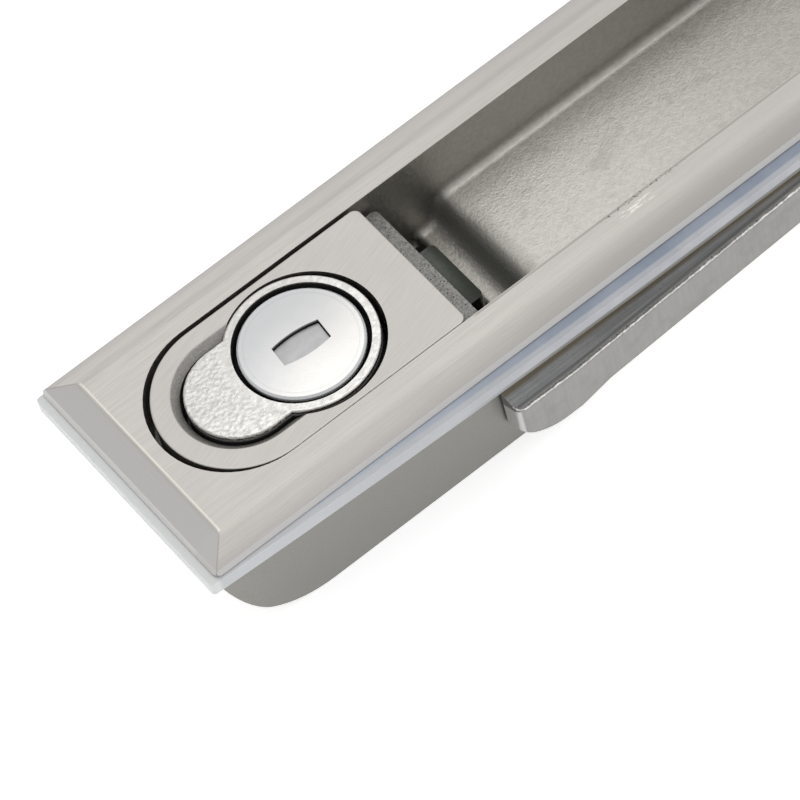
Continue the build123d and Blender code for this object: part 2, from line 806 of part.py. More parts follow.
def spindle_fork():
    """Shaft with a round head and two ears for the pivot pin."""
    z0 = below(dish_depth) + washer_t + washer_gap
    head = rod(head_r, at(spindle_d), 0, z0, z0 + head_t)
    ear_face = Circle(ear_r) + Pos(0, (z0 + head_t / 2 - pivot_z) / 2) * Rectangle(
        2 * ear_r, pivot_z - z0 - head_t / 2)
    ears = Pos(at(spindle_d), 0, pivot_z) * extrude(
        Plane.XZ * ear_face, amount=ear_in + ear_t, both=True)
    gap = slab(at(spindle_d) - head_r, at(spindle_d) + head_r, -ear_in, ear_in,
               z0 + head_t, face_z + ear_r)
    solid = head + (ears - gap)
    solid += rod(shaft_r, at(spindle_d), 0, below(cam_top - shoulder_up), z0)
    low = below(cam_top + cam_thick)
    solid += slab(at(spindle_d) - square / 2, at(spindle_d) + square / 2,
                  -square / 2, square / 2, low + square_short, below(cam_top - shoulder_up))
    solid -= pivot_hole(pin_r)
    solid -= rod(cam_screw_r + thread_gap, at(spindle_d), 0, low, low + cam_screw_in)
    return turned_across(solid)


def pivot_hole(r):
    return Pos(at(spindle_d), 0, pivot_z) * Rot(90, 0, 0) * Cylinder(r, 4 * ear_in)


def pivot_pin():
    pin = Pos(at(spindle_d), 0, pivot_z) * Rot(90, 0, 0) * Cylinder(
        pin_r, 2 * (ear_in + ear_t))
    return turned_across(pin)


def popup_springs():
    """Torsion springs on the pivot pin, one each side of the handle's tongue."""
    run = ear_in - tongue_half - 4 * pop_wire
    springs = []
    for side in (-1, 1):
        spring = coil(pop_r, pop_wire, run / pop_turns, run)
        middle = side * (ear_in + tongue_half) / 2
        springs.append(Pos(at(spindle_d), middle + run / 2, pivot_z) * Rot(90, 0, 0) * spring)
    return turned_across(Compound(springs))


def cam_outline():
    """Cranked arm: its slim finger lies beside the lock case when open."""
    slope = (cam_out_tip - cam_out_hub) / (spindle_d - belly_to)
    arm_hub = spindle_d - arm_to_hub
    hub_edge = cam_out_tip - slope * (arm_hub - belly_to)
    points = [
        (at(cam_tip), -finger_in),
        (at(cam_tip), -cam_out_tip),
        (at(belly_to), -cam_out_tip),
        (at(arm_hub), -hub_edge),
        (at(spindle_d), -hub_r),
        (at(spindle_d), hub_r * hub_flank),
        (at(spindle_d) - hub_r * hub_reach, hub_r * hub_flank),
        (at(arm_hub), -arm_in),
        (at(crank_far) + finger_in - arm_in, -arm_in),
        (at(crank_far), -finger_in),
    ]
    outline = make_face(Polyline([*points, points[0]]))
    corner = outline.vertices().sort_by(
        lambda v: abs(v.X - at(cam_tip)) + abs(v.Y + cam_out_tip))[0]
    outline = fillet(corner, finger_corner_r)
    return outline + Pos(at(spindle_d), 0) * Circle(hub_r)


def arm_relief():
    """What the arm and the hub lack of the belly's thickness."""
    belly = below(cam_top + belly_thick)
    low = below(cam_top + cam_thick)
    end = at(spindle_d) + hub_r + past
    thinned = (at(belly_to + belly_run), low)
    points = [
        (at(belly_to), belly - past),
        (at(belly_to), belly),
        thinned,
        (end, low),
        (end, belly - past),
    ]
    return side_prism(side_face(points, ((thinned, belly_r),)), width)


def nose_relief():
    """Bevel under the finger's tip, bulged along its length and deeper on the inner side."""
    top = below(cam_top)
    belly = top - belly_thick
    tip = top - cam_tip_thick
    start = at(cam_tip) - past
    middle = ((at(cam_tip) + at(belly_from)) / 2, (tip + belly) / 2 - nose_sag * (tip - belly))
    low = belly - nose_tilt * finger_t - past
    outline = (
        Line((start, tip), (at(cam_tip), tip))
        + ThreePointArc((at(cam_tip), tip), middle, (at(belly_from), belly))
        + Line((at(belly_from), belly), (at(belly_from), low))
        + Line((at(belly_from), low), (start, low))
        + Line((start, low), (start, tip))
    )
    side = Pos(0, -cam_out_tip, 0) * (Plane.XZ * make_face(outline))
    return extrude(side, amount=2 * finger_t, dir=(0, 1, -nose_tilt), both=True)


def stop_track():
    """Curved track in the hub that the stop pin runs in."""
    z1 = below(cam_top)
    outer = stop_pin_at + track_w
    inner = stop_pin_at - track_w
    ring = rod(outer, 0, 0, z1 - track_deep, z1) - rod(inner, 0, 0, z1 - track_deep, z1)
    reach = 2 * outer
    a = math.radians(swing / 2 + track_spare) + stop_pin_r / stop_pin_at
    wedge_face = make_face(Polyline([
        (0, 0), (reach * math.cos(-a), reach * math.sin(-a)), (reach, 0),
        (reach * math.cos(a), reach * math.sin(a)), (0, 0)]))
    sector = ring & plate(wedge_face, z1 - track_deep, z1)
    return Pos(at(spindle_d), 0, 0) * Rot(0, 0, 180) * sector


def latch_cam():
    top = below(cam_top)
    solid = plate(cam_outline(), top - belly_thick, top)
    solid -= arm_relief()
    solid -= nose_relief()
    hole = square / 2 + square_gap
    solid -= slab(at(spindle_d) - hole, at(spindle_d) + hole, -hole, hole, top - belly_thick, top)
    return solid - stop_track()


def cam_washer():
    z1 = below(cam_top + cam_thick)
    ring = rod(cam_washer_r, at(spindle_d), 0, z1 - cam_washer_t, z1)
    return ring - rod(cam_screw_r + cam_washer_gap, at(spindle_d), 0,
                      z1 - 2 * cam_washer_t, z1 + past)


def cam_screw():
    seat = below(cam_top + cam_thick) - cam_washer_t
    shank = rod(cam_screw_r, at(spindle_d), 0, seat, seat + cam_screw_in)
    head = rod(cam_head_r, at(spindle_d), 0, seat - cam_head_t, seat)
    socket = Pos(at(spindle_d), 0, seat - cam_head_t) * extrude(
        RegularPolygon(cam_hex_af / 2, 6, major_radius=False), amount=cam_head_t / 2)
    return shank + head - socket


# ---------------------------------------------------------------- handle

def toe_top():
    """Top of the hook's toe, which catches under the spring catch."""
    return below(catch_top + catch_t + toe_gap)


def handle_profile():
    """Side view of the handle when shut, from the root to the hook."""
    x = at(spindle_d)
    nose = at(nose_at)
    toe = toe_top()
    grip_end = (x - bridge_to, grip_low)
    toe_tip = (nose + toe_from, toe - toe_t)
    nose_top = (nose, handle_top)
    points = [
        (x - tongue_to, root_low),
        (x - bridge_from, root_low),
        (x - bridge_from, bridge_low),
        (x - bridge_to, bridge_low),
        grip_end,
        (nose + shank_near, grip_low),
        (nose + shank_near, toe - toe_t),
        toe_tip,
        (nose + toe_from, toe),
        (nose + shank_far, toe),
        (nose + shank_far, nose_low),
        (nose, nose_low),
        nose_top,
        (x - tongue_to, handle_top),
    ]
    rounds = ((toe_tip, toe_round_r), (nose_top, nose_round_r), (grip_end, handle_edge_r))
    return side_face(points, rounds)


def handle_grip():
    """Grip and hook, rounded along the top and scooped out underneath."""
    solid = side_prism(handle_profile(), handle_half)
    top = solid.edges().filter_by(Axis.X).group_by(Axis.Z)[-1]
    solid = fillet(top, handle_edge_r)
    x = at(spindle_d)
    nose = at(nose_at)
    scoop = slab(nose + scoop_end, x - scoop_from, -scoop_half, scoop_half,
                 grip_low - past, grip_low + scoop_deep)
    scoop = fillet(scoop.edges().filter_by(Axis.Z), scoop_corner_r)
    hook_trim = slab(nose, nose + hook_root, hook_half, handle_half + past,
                     toe_top() - 2 * toe_t, grip_low)
    return solid - scoop - hook_trim - mirror(hook_trim, about=Plane.XZ)


def handle_root():
    """Tongue on the pivot pin, kept inside the round end of the opening."""
    x = at(spindle_d)
    tongue = Pos(x, 0, pivot_z) * Rot(90, 0, 0) * Cylinder(tongue_r, 2 * tongue_half)
    neck = slab(x - tongue_to, x, -tongue_half, tongue_half, root_low, pivot_z + tongue_r)
    return tongue + neck


def handle_lever():
    x = at(spindle_d)
    grip = handle_grip()
    low_root = slab(x - bridge_from, x, -width, width, root_low - past, bridge_low)
    outside = low_root - rod(root_r, x, 0, root_low - past, bridge_low)
    solid = (grip - outside) + handle_root()
    solid -= pivot_hole(pin_r + pin_gap)
    raised = solid.rotate(Axis((x, 0, pivot_z), (0, 1, 0)), lift)
    return turned_across(raised)


# ---------------------------------------------------------------- output

PIECES = {
    "base_housing": base_housing,
    "flange_gasket": flange_gasket,
    "lock_insert": lock_insert,
    "insert_screws": insert_screws,
    "case_cover": case_cover,
    "cover_screws": cover_screws,
    "catch_tray": catch_tray,
    "catch_spring": catch_spring,
    "button_springs": button_springs,
    "spindle_bush": spindle_bush,
    "thrust_washer": thrust_washer,
    "stop_pin": stop_pin,
    "push_button": push_button,
    "guide_pins": guide_pins,
    "guide_clips": guide_clips,
    "catch_slide": catch_slide,
    "plug_barrel": plug_barrel,
    "tail_cam": tail_cam,
    "tail_screw": tail_screw,
    "shutter_spring": shutter_spring,
    "keyhole_shutter": keyhole_shutter,
    "spindle_fork": spindle_fork,
    "pivot_pin": pivot_pin,
    "popup_springs": popup_springs,
    "latch_cam": latch_cam,
    "cam_washer": cam_washer,
    "cam_screw": cam_screw,
    "handle_lever": handle_lever,
}


def main():
    os.makedirs("parts", exist_ok=True)
    for name, make in PIECES.items():
        export_step(make(), f"parts/{name}.step")


main()
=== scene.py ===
import math
import random

import bmesh
import bpy
from mathutils import Matrix, Vector


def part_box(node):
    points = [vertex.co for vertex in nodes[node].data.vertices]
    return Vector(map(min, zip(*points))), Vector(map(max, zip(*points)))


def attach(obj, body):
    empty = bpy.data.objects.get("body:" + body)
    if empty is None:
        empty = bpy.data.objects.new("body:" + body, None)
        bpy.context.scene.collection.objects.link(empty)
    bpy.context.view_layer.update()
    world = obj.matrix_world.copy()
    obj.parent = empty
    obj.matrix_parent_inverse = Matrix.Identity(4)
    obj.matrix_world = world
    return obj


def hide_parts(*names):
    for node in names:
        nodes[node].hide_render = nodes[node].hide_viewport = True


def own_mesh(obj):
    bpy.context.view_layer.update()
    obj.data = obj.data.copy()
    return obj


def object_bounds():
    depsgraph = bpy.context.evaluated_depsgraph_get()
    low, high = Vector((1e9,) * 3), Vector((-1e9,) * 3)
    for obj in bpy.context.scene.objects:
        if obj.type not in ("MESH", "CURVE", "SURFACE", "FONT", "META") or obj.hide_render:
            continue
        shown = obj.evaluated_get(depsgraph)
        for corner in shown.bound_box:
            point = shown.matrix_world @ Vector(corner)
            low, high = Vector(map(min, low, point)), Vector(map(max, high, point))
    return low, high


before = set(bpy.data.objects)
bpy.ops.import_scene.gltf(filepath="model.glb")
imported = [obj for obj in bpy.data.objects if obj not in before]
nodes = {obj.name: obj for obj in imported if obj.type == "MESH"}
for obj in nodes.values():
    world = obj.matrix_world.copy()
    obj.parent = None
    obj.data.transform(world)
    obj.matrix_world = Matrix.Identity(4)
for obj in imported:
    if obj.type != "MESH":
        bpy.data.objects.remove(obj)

MM = 0.001
cad_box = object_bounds()


def spans(node):
    """Lowest and highest corners of a node, in millimetres."""
    low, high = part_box(node)
    return [v / MM for v in low], [v / MM for v in high]


# Places on the lock in millimetres. The keyed end is at low X, the latch cam on the low Y side.
base_low, base_high = spans("base_housing")
plug_low, plug_high = spans("plug_barrel")
cam_low, cam_high = spans("latch_cam")
catch_low, catch_high = spans("catch_slide")
gasket_low, gasket_high = spans("flange_gasket")
face = base_high[2]
keyed_end = base_low[0]
mitre_reach = 3.55                      # how far the bevel across the keyed end reaches in
recess_side = base_high[1] - 6          # half the width of the recess
recess_start = keyed_end + 5
recess_end = base_high[0] - 7
plate_end = keyed_end + 41.15           # the button's plate stops here and its rough ledge begins
lip_end = keyed_end + 50.3              # the lip stops here and slopes down into the deeper dish
flange_under = gasket_high[2]
plug_x = (plug_low[0] + plug_high[0]) / 2
plug_r = (plug_high[0] - plug_low[0]) / 2


# ---------------------------------------------------------------- material nodes

class Nodes:
    """Short names for the shader nodes of one material."""

    def __init__(self, name):
        self.mat = bpy.data.materials.new(name)
        self.mat.use_nodes = True
        self.tree = self.mat.node_tree
        self.tree.nodes.clear()
        out = self.tree.nodes.new("ShaderNodeOutputMaterial")
        self.bsdf = self.tree.nodes.new("ShaderNodeBsdfPrincipled")
        self.tree.links.new(self.bsdf.outputs[0], out.inputs[0])
        self.where = None

    def put(self, socket, value):
        """Set a socket to a number or a colour, or link it."""
        if isinstance(value, (int, float)):
            socket.default_value = value
        elif isinstance(value, (tuple, list)):
            socket.default_value = (*value, 1) if len(socket.default_value) == 4 else value
        else:
            self.tree.links.new(value, socket)

    def position(self):
        """Object coordinates in millimetres: X, Y and Z sockets and the vector."""
        if self.where is None:
            coord = self.tree.nodes.new("ShaderNodeTexCoord")
            scale = self.tree.nodes.new("ShaderNodeVectorMath")
            scale.operation = "SCALE"
            scale.inputs["Scale"].default_value = 1 / MM
            self.tree.links.new(coord.outputs["Object"], scale.inputs[0])
            split = self.tree.nodes.new("ShaderNodeSeparateXYZ")
            self.tree.links.new(scale.outputs[0], split.inputs[0])
            self.where = (split.outputs[0], split.outputs[1], split.outputs[2], scale.outputs[0])
        return self.where

    def slope(self):
        """How far the surface faces up: 1 level, 0 upright, -1 underneath."""
        geo = self.tree.nodes.new("ShaderNodeNewGeometry")
        split = self.tree.nodes.new("ShaderNodeSeparateXYZ")
        self.tree.links.new(geo.outputs["True Normal"], split.inputs[0])
        return split.outputs[2]

    def stretched(self, scale, turn):
        """Position scaled along each axis, and turned about Z by degrees."""
        mapping = self.tree.nodes.new("ShaderNodeMapping")
        mapping.vector_type = "TEXTURE"
        mapping.inputs["Rotation"].default_value = (0, 0, math.radians(turn))
        mapping.inputs["Scale"].default_value = [1 / s for s in scale]
        self.tree.links.new(self.position()[3], mapping.inputs["Vector"])
        return mapping.outputs["Vector"]

    def noise(self, scale, detail=3.0, rough=0.55, stretch=(1, 1, 1), turn=0.0, warp=0.0):
        """Noise with so many features to the millimetre."""
        n = self.tree.nodes.new("ShaderNodeTexNoise")
        n.inputs["Scale"].default_value = scale
        n.inputs["Detail"].default_value = detail
        n.inputs["Roughness"].default_value = rough
        n.inputs["Distortion"].default_value = warp
        self.tree.links.new(self.stretched(stretch, turn), n.inputs["Vector"])
        return n.outputs["Fac"]

    def cells(self, scale):
        """Distance from the middle of the nearest cell."""
        n = self.tree.nodes.new("ShaderNodeTexVoronoi")
        n.inputs["Scale"].default_value = scale
        self.tree.links.new(self.position()[3], n.inputs["Vector"])
        return n.outputs["Distance"]

    def ramp(self, value, start, end, low=0.0, high=1.0, smooth=True):
        """From low to high while the value goes from start to end."""
        m = self.tree.nodes.new("ShaderNodeMapRange")
        if smooth:
            m.interpolation_type = "SMOOTHSTEP"
        self.put(m.inputs["Value"], value)
        m.inputs["From Min"].default_value = start
        m.inputs["From Max"].default_value = end
        m.inputs["To Min"].default_value = low
        m.inputs["To Max"].default_value = high
        return m.outputs["Result"]

    def rise(self, value, start, end):
        """A sharp step up from 0 to 1."""
        return self.ramp(value, start, end, 0, 1, False)

    def fall(self, value, start, end):
        """A sharp step down from 1 to 0."""
        return self.ramp(value, start, end, 1, 0, False)

    def window(self, value, opening, closing):
        """1 between two pairs of limits, fading to 0 across each pair."""
        return self.times(self.ramp(value, *opening), self.ramp(value, *closing, 1, 0))

    def maths(self, op, a, b=0.0):
        m = self.tree.nodes.new("ShaderNodeMath")
        m.operation = op
        self.put(m.inputs[0], a)
        self.put(m.inputs[1], b)
        return m.outputs[0]

    def times(self, first, *others):
        product = first
        for value in others:
            product = self.maths("MULTIPLY", product, value)
        return product

    def plus(self, a, b):
        return self.maths("ADD", a, b)

    def minus(self, a, b):
        return self.maths("SUBTRACT", a, b)

    def inverse(self, a):
        return self.minus(1.0, a)

    def larger(self, a, b):
        return self.maths("MAXIMUM", a, b)

    def away(self, x, y):
        """Distance in plan from a point."""
        px, py = self.position()[:2]
        dx = self.minus(px, x)
        dy = self.minus(py, y)
        return self.maths("SQRT", self.plus(self.times(dx, dx), self.times(dy, dy)))

    def colour(self, fac, a, b):
        m = self.tree.nodes.new("ShaderNodeMix")
        m.data_type = "RGBA"
        self.put(m.inputs[0], fac)
        self.put(m.inputs[6], a)
        self.put(m.inputs[7], b)
        return m.outputs[2]

    def mottled(self, noise, dark, light, low=0.3, high=0.7):
        """Dark where the noise is below low, light where it is above high."""
        return self.colour(self.ramp(noise, low, high), dark, light)

    def number(self, fac, a, b):
        m = self.tree.nodes.new("ShaderNodeMix")
        m.data_type = "FLOAT"
        self.put(m.inputs[0], fac)
        self.put(m.inputs[2], a)
        self.put(m.inputs[3], b)
        return m.outputs[0]

    def relief(self, *layers):
        """Bumps, each a height socket with its depth in millimetres."""
        normal = None
        for height, depth in layers:
            b = self.tree.nodes.new("ShaderNodeBump")
            b.inputs["Strength"].default_value = 1.0
            b.inputs["Distance"].default_value = depth * MM
            self.tree.links.new(height, b.inputs["Height"])
            if normal is not None:
                self.tree.links.new(normal, b.inputs["Normal"])
            normal = b.outputs["Normal"]
        self.tree.links.new(normal, self.bsdf.inputs["Normal"])

    def finish(self, colour, rough, metallic=1.0):
        self.put(self.bsdf.inputs["Base Color"], colour)
        self.put(self.bsdf.inputs["Roughness"], rough)
        self.put(self.bsdf.inputs["Metallic"], metallic)
        return self.mat


# ---------------------------------------------------------------- housing

def flange_tone(m, grain, past_mitre, on_end, cam_side):
    """Brushed metal of the flange with its bevels, wear and dirt beside the recess, and painted light
    and shade: painted shade low on the side bevels and on the roll along the cam side, painted light on
    the steep band under the bevels and on the bevel across the keyed end, and at each mitre crease a
    painted highlight above and painted shade below.
    """
    x, y, z, _ = m.position()
    up = m.slope()
    tone = m.mottled(grain, (0.465, 0.442, 0.415), (0.575, 0.553, 0.525), 0.25, 0.75)
    tone = m.colour(m.ramp(m.noise(0.10, 3), 0.35, 0.7, 0, 0.3), tone, (0.47, 0.452, 0.43))
    tone = m.colour(m.ramp(x, -50, 20, 0, 0.35), tone, (0.37, 0.352, 0.33))

    # Painted shade: the side bevels are darker low down.
    low_side_shade = m.times(m.ramp(z, face - 0.7, face - 1.6, 0, 0.45), m.inverse(on_end))
    tone = m.colour(low_side_shade, tone, (0.36, 0.35, 0.345))
    # Painted shade on the roll along the cam side, stronger towards high X.
    roll_shade = m.times(cam_side, m.ramp(z, face - 0.3, face - 1.0), m.ramp(x, -55, -5, 0, 0.42))
    tone = m.colour(roll_shade, tone, (0.31, 0.295, 0.28))
    # Painted light: the steep band below the bevels is made lighter.
    steep_band_light = m.times(m.fall(z, face - 1.55, face - 1.5), m.fall(up, 0.78, 0.85))
    tone = m.colour(steep_band_light, tone, (0.62, 0.612, 0.605))
    # Painted light: the bevel across the keyed end is made a lighter, even tone.
    end_bevel_light = m.times(on_end, m.ramp(z, face - 0.02, face - 0.3))
    tone = m.colour(end_bevel_light, tone, (0.575, 0.562, 0.548))

    off_mitre = m.maths("ABSOLUTE", past_mitre)
    at_face = m.rise(z, face - 0.12, face - 0.06)
    # Painted highlight along each mitre crease at the face, painted shade along it just below.
    crease_highlight = m.times(m.ramp(off_mitre, 0.0, 0.30, 0.7, 0), at_face)
    tone = m.colour(crease_highlight, tone, (0.80, 0.785, 0.70))
    crease_shade = m.times(m.ramp(off_mitre, 0.05, 0.16, 0.5, 0), m.inverse(at_face))
    tone = m.colour(crease_shade, tone, (0.30, 0.285, 0.26))

    beside_recess = (0.1 - recess_side, 0.15 - recess_side)
    streak = m.times(m.window(x, (-8.5, -6.5), (-4, -2.5)),
                     m.window(y, (-recess_side - 1.9, -recess_side - 1.5),
                              (-recess_side - 0.9, -recess_side - 0.5)),
                     m.ramp(m.noise(1.0, 4, 0.7, (0.5, 3, 1)), 0.50, 0.60, 0, 0.6))
    tone = m.colour(streak, tone, (0.85, 0.83, 0.78))
    recess_edge = m.times(m.window(y, (-recess_side - 0.20, -recess_side - 0.11), beside_recess),
                          m.ramp(x, plate_end + 0.35, plate_end + 1.35, 0, 0.36))
    tone = m.colour(recess_edge, tone, (0.12, 0.115, 0.105))
    dirt = m.times(m.window(x, (-12, -8), (-1, 4)),
                   m.window(y, (-recess_side - 0.6, -recess_side - 0.2), beside_recess),
                   m.ramp(up, 0.9, 0.95),
                   m.ramp(m.noise(3.0, 3, 0.7), 0.54, 0.60, 0, 0.75))
    return m.colour(dirt, tone, (0.07, 0.06, 0.05))


def recess_tone(m, skin, fine):
    """Cast metal of the recess: walls painted darker than the floor as shade, darkest towards the keyed
    end; a stained floor that is darker towards high X, with painted shade where it rounds over into the
    slope; a mottled lip.
    """
    x, y, _, _ = m.position()
    # Painted shade: the walls are darker than the floor, darkest towards the keyed end.
    wall = m.colour(m.ramp(x, -26, 2),
                    m.mottled(skin, (0.37, 0.362, 0.335), (0.43, 0.42, 0.39)),
                    m.mottled(skin, (0.415, 0.402, 0.377), (0.475, 0.462, 0.437)))
    bottom = m.colour(m.ramp(x, -12, 30),
                      m.mottled(skin, (0.54, 0.522, 0.488), (0.605, 0.585, 0.55)),
                      m.mottled(skin, (0.41, 0.39, 0.36), (0.475, 0.452, 0.42)))
    stain = m.ramp(m.noise(0.22, 4, 0.6), 0.55, 0.68, 0, 0.25)
    bottom = m.colour(stain, bottom, (0.30, 0.275, 0.24))
    ragged_x = m.plus(x, m.times(fine, 1.6))
    # Painted shade where the floor rounds over into the slope down to the lip.
    brow_shade = m.times(m.ramp(ragged_x, lip_end + 2.5, lip_end + 5.7, 0.7, 0), m.ramp(y, 8.5, 4))
    bottom = m.colour(brow_shade, bottom, (0.22, 0.215, 0.19))
    lip = m.mottled(fine, (0.42, 0.405, 0.37), (0.54, 0.52, 0.485), 0.35, 0.65)
    bottom = m.colour(m.fall(x, lip_end - 0.1, lip_end + 0.1), bottom, lip)
    # Steep faces take the wall tone and level faces the floor tone: a shaded and a lit copy of one cast
    # metal.
    return m.colour(m.ramp(m.slope(), 0.25, 0.9), wall, bottom)


def housing_material():
    """Brushed face and bevels, cast recess, dull cast back."""
    m = Nodes("steel_housing")
    x, y, z, _ = m.position()
    up = m.slope()
    off_middle = m.maths("ABSOLUTE", y)
    from_side = m.minus(base_high[1], off_middle)
    past_mitre = m.minus(m.plus(x, -keyed_end), m.maths("MINIMUM", from_side, mitre_reach))
    on_end = m.fall(past_mitre, -0.03, 0.03)
    grain = m.number(on_end, m.noise(1.3, 5, 0.6, (0.12, 6, 6)), m.noise(1.3, 5, 0.6, (6, 0.12, 6)))
    cam_side = m.ramp(y, -recess_side - 1.5, -recess_side - 2.2)
    skin = m.noise(1.6, 5, 0.6, warp=0.3)
    fine = m.noise(3.2, 4, 0.65)

    inside = m.times(m.fall(z, face - 0.12, face - 0.02),
                     m.fall(off_middle, recess_side - 0.1, recess_side),
                     m.rise(x, recess_start - 0.1, recess_start),
                     m.fall(x, recess_end, recess_end + 0.1))
    outside = m.times(m.fall(z, flange_under - 0.2, flange_under - 0.05), m.inverse(inside))
    cast = m.larger(inside, outside)
    # Painted shade on the slope from the floor down to the lip, which is also made less metallic.
    shaded_incline = m.times(inside, m.ramp(up, 0.1, 0.35),
                      m.window(x, (lip_end - 0.3, lip_end + 0.3), (lip_end + 1.5, lip_end + 2.1)))
    foot_of_wall = m.times(inside, m.window(up, (0.2, 0.35), (0.85, 0.97)))

    recess = m.colour(shaded_incline, recess_tone(m, skin, fine), (0.25, 0.247, 0.222))
    back = m.mottled(fine, (0.245, 0.241, 0.224), (0.285, 0.281, 0.263))
    tone = m.colour(inside, flange_tone(m, grain, past_mitre, on_end, cam_side), recess)
    tone = m.colour(outside, tone, back)
    polish = m.plus(m.ramp(grain, 0.3, 0.7, 0.33, 0.40), m.times(cam_side, 0.10))
    rough = m.number(cast, polish, m.ramp(fine, 0.3, 0.7, 0.40, 0.50))
    rough = m.plus(rough, m.times(foot_of_wall, 0.16))
    peel = m.times(inside, fine, m.ramp(x, -18, 6, 1.3, 0.55))
    m.relief((m.times(inside, skin), 0.05), (peel, 0.03), (m.times(outside, fine), 0.014),
             (m.times(m.inverse(cast), grain), 0.011))
    return m.finish(tone, rough, m.inverse(m.times(shaded_incline, 0.35)))


# ---------------------------------------------------------------- button, insert and plug

def button_material():
    """Plate brushed at a slant; the ledge and the mouth of the lobe's hole as cast; the rounded top
    edge rough, with the dark cast tone as painted shade.
    """
    m = Nodes("steel_button")
    x, _, z, _ = m.position()
    brush_slant = 16
    grain = m.noise(1.4, 5, 0.6, (0.14, 6, 6), brush_slant)
    brushed = m.mottled(grain, (0.465, 0.445, 0.42), (0.555, 0.535, 0.508), 0.25, 0.75)
    brushed = m.colour(m.ramp(m.noise(0.12, 3), 0.35, 0.7, 0, 0.3), brushed, (0.46, 0.44, 0.415))

    ledge = m.times(m.rise(x, plate_end - 0.05, plate_end + 0.05), m.fall(z, face - 1.6, face - 1.4))
    hole_mouth = m.ramp(z, face - 2.4, face - 0.9, 0.7, 0)
    # The plate's rounded top edge takes the rough, dark cast tone: its darkness is painted shade along
    # the edge.
    shaded_rounded_edge = m.times(m.fall(z, face - 0.10, face - 0.03),
                           m.window(m.slope(), (0.4, 0.6), (0.9, 0.97)), 0.6)
    rough_cast = m.larger(m.larger(ledge, hole_mouth), shaded_rounded_edge)
    skin = m.noise(4.0, 5, 0.75)
    pits = m.times(m.ramp(m.cells(2.3), 0.10, 0.25, 1, 0), m.ramp(m.noise(1.5, 2), 0.49, 0.55), ledge)
    cast = m.mottled(skin, (0.19, 0.186, 0.175), (0.35, 0.345, 0.325), 0.38, 0.62)
    cast = m.colour(pits, cast, (0.02, 0.02, 0.018))

    rough = m.number(rough_cast, m.ramp(grain, 0.3, 0.7, 0.33, 0.40), 0.5)
    m.relief((m.times(rough_cast, m.minus(skin, m.times(pits, 0.8))), 0.10),
             (m.times(m.inverse(rough_cast), grain), 0.011))
    return m.finish(m.colour(rough_cast, brushed, cast), rough)


def insert_material():
    """Bright rough casting, lighter on its lumps and darker in its folds and towards low X and high Y
    as painted light and shade; nearly black down in the gap round the plug as painted shade.
    """
    m = Nodes("cast_bright")
    x, y, z, _ = m.position()
    lumps = m.noise(1.2, 3, 0.5, warp=0.8)
    pebbles = m.ramp(m.cells(1.7), 0.05, 0.75, 1, 0)
    fine = m.noise(5.0, 3, 0.6)
    r = m.away(plug_x, 0)
    lobe = m.ramp(r, plug_r + 1.6, plug_r + 2.4)

    # Lighter on the lumps of the relief, darker between them: painted light and shade on the rough
    # surface.
    tone = m.mottled(lumps, (0.645, 0.633, 0.607), (0.785, 0.775, 0.748), 0.36, 0.64)
    # Painted shade: thin dark lines in the folds of the lobe's casting.
    off_fold = m.maths("ABSOLUTE", m.minus(m.noise(1.4, 3, 0.6, warp=0.6), 0.5))
    fold_shade = m.times(m.ramp(off_fold, 0.0, 0.014, 0.55, 0), lobe)
    tone = m.colour(fold_shade, tone, (0.34, 0.33, 0.30))
    # Painted shade: the insert is darker towards low X and high Y.
    across = m.minus(m.times(m.minus(x, plug_x), 0.4), y)
    tone = m.colour(m.ramp(across, -9, 4, 0.4, 0), tone, (0.44, 0.432, 0.41))
    # Painted shade, nearly black, down in the gap round the plug and on everything below the face;
    # these parts are also rough and not metallic.
    gap = m.times(m.fall(r, plug_r + 0.66, plug_r + 0.72), m.fall(z, face - 0.25, face - 0.05))
    dark = m.larger(gap, m.fall(z, face - 1.0, face - 0.45))
    tone = m.colour(dark, tone, (0.012, 0.012, 0.012))

    rough = m.number(dark, m.ramp(fine, 0.3, 0.7, 0.22, 0.34), 0.8)
    shown = m.ramp(lobe, 0, 1, 0.25, 1, False)
    m.relief((m.times(lumps, shown), 0.11), (m.times(pebbles, shown), 0.045),
             (m.times(fine, shown), 0.022))
    return m.finish(tone, rough, m.inverse(dark))


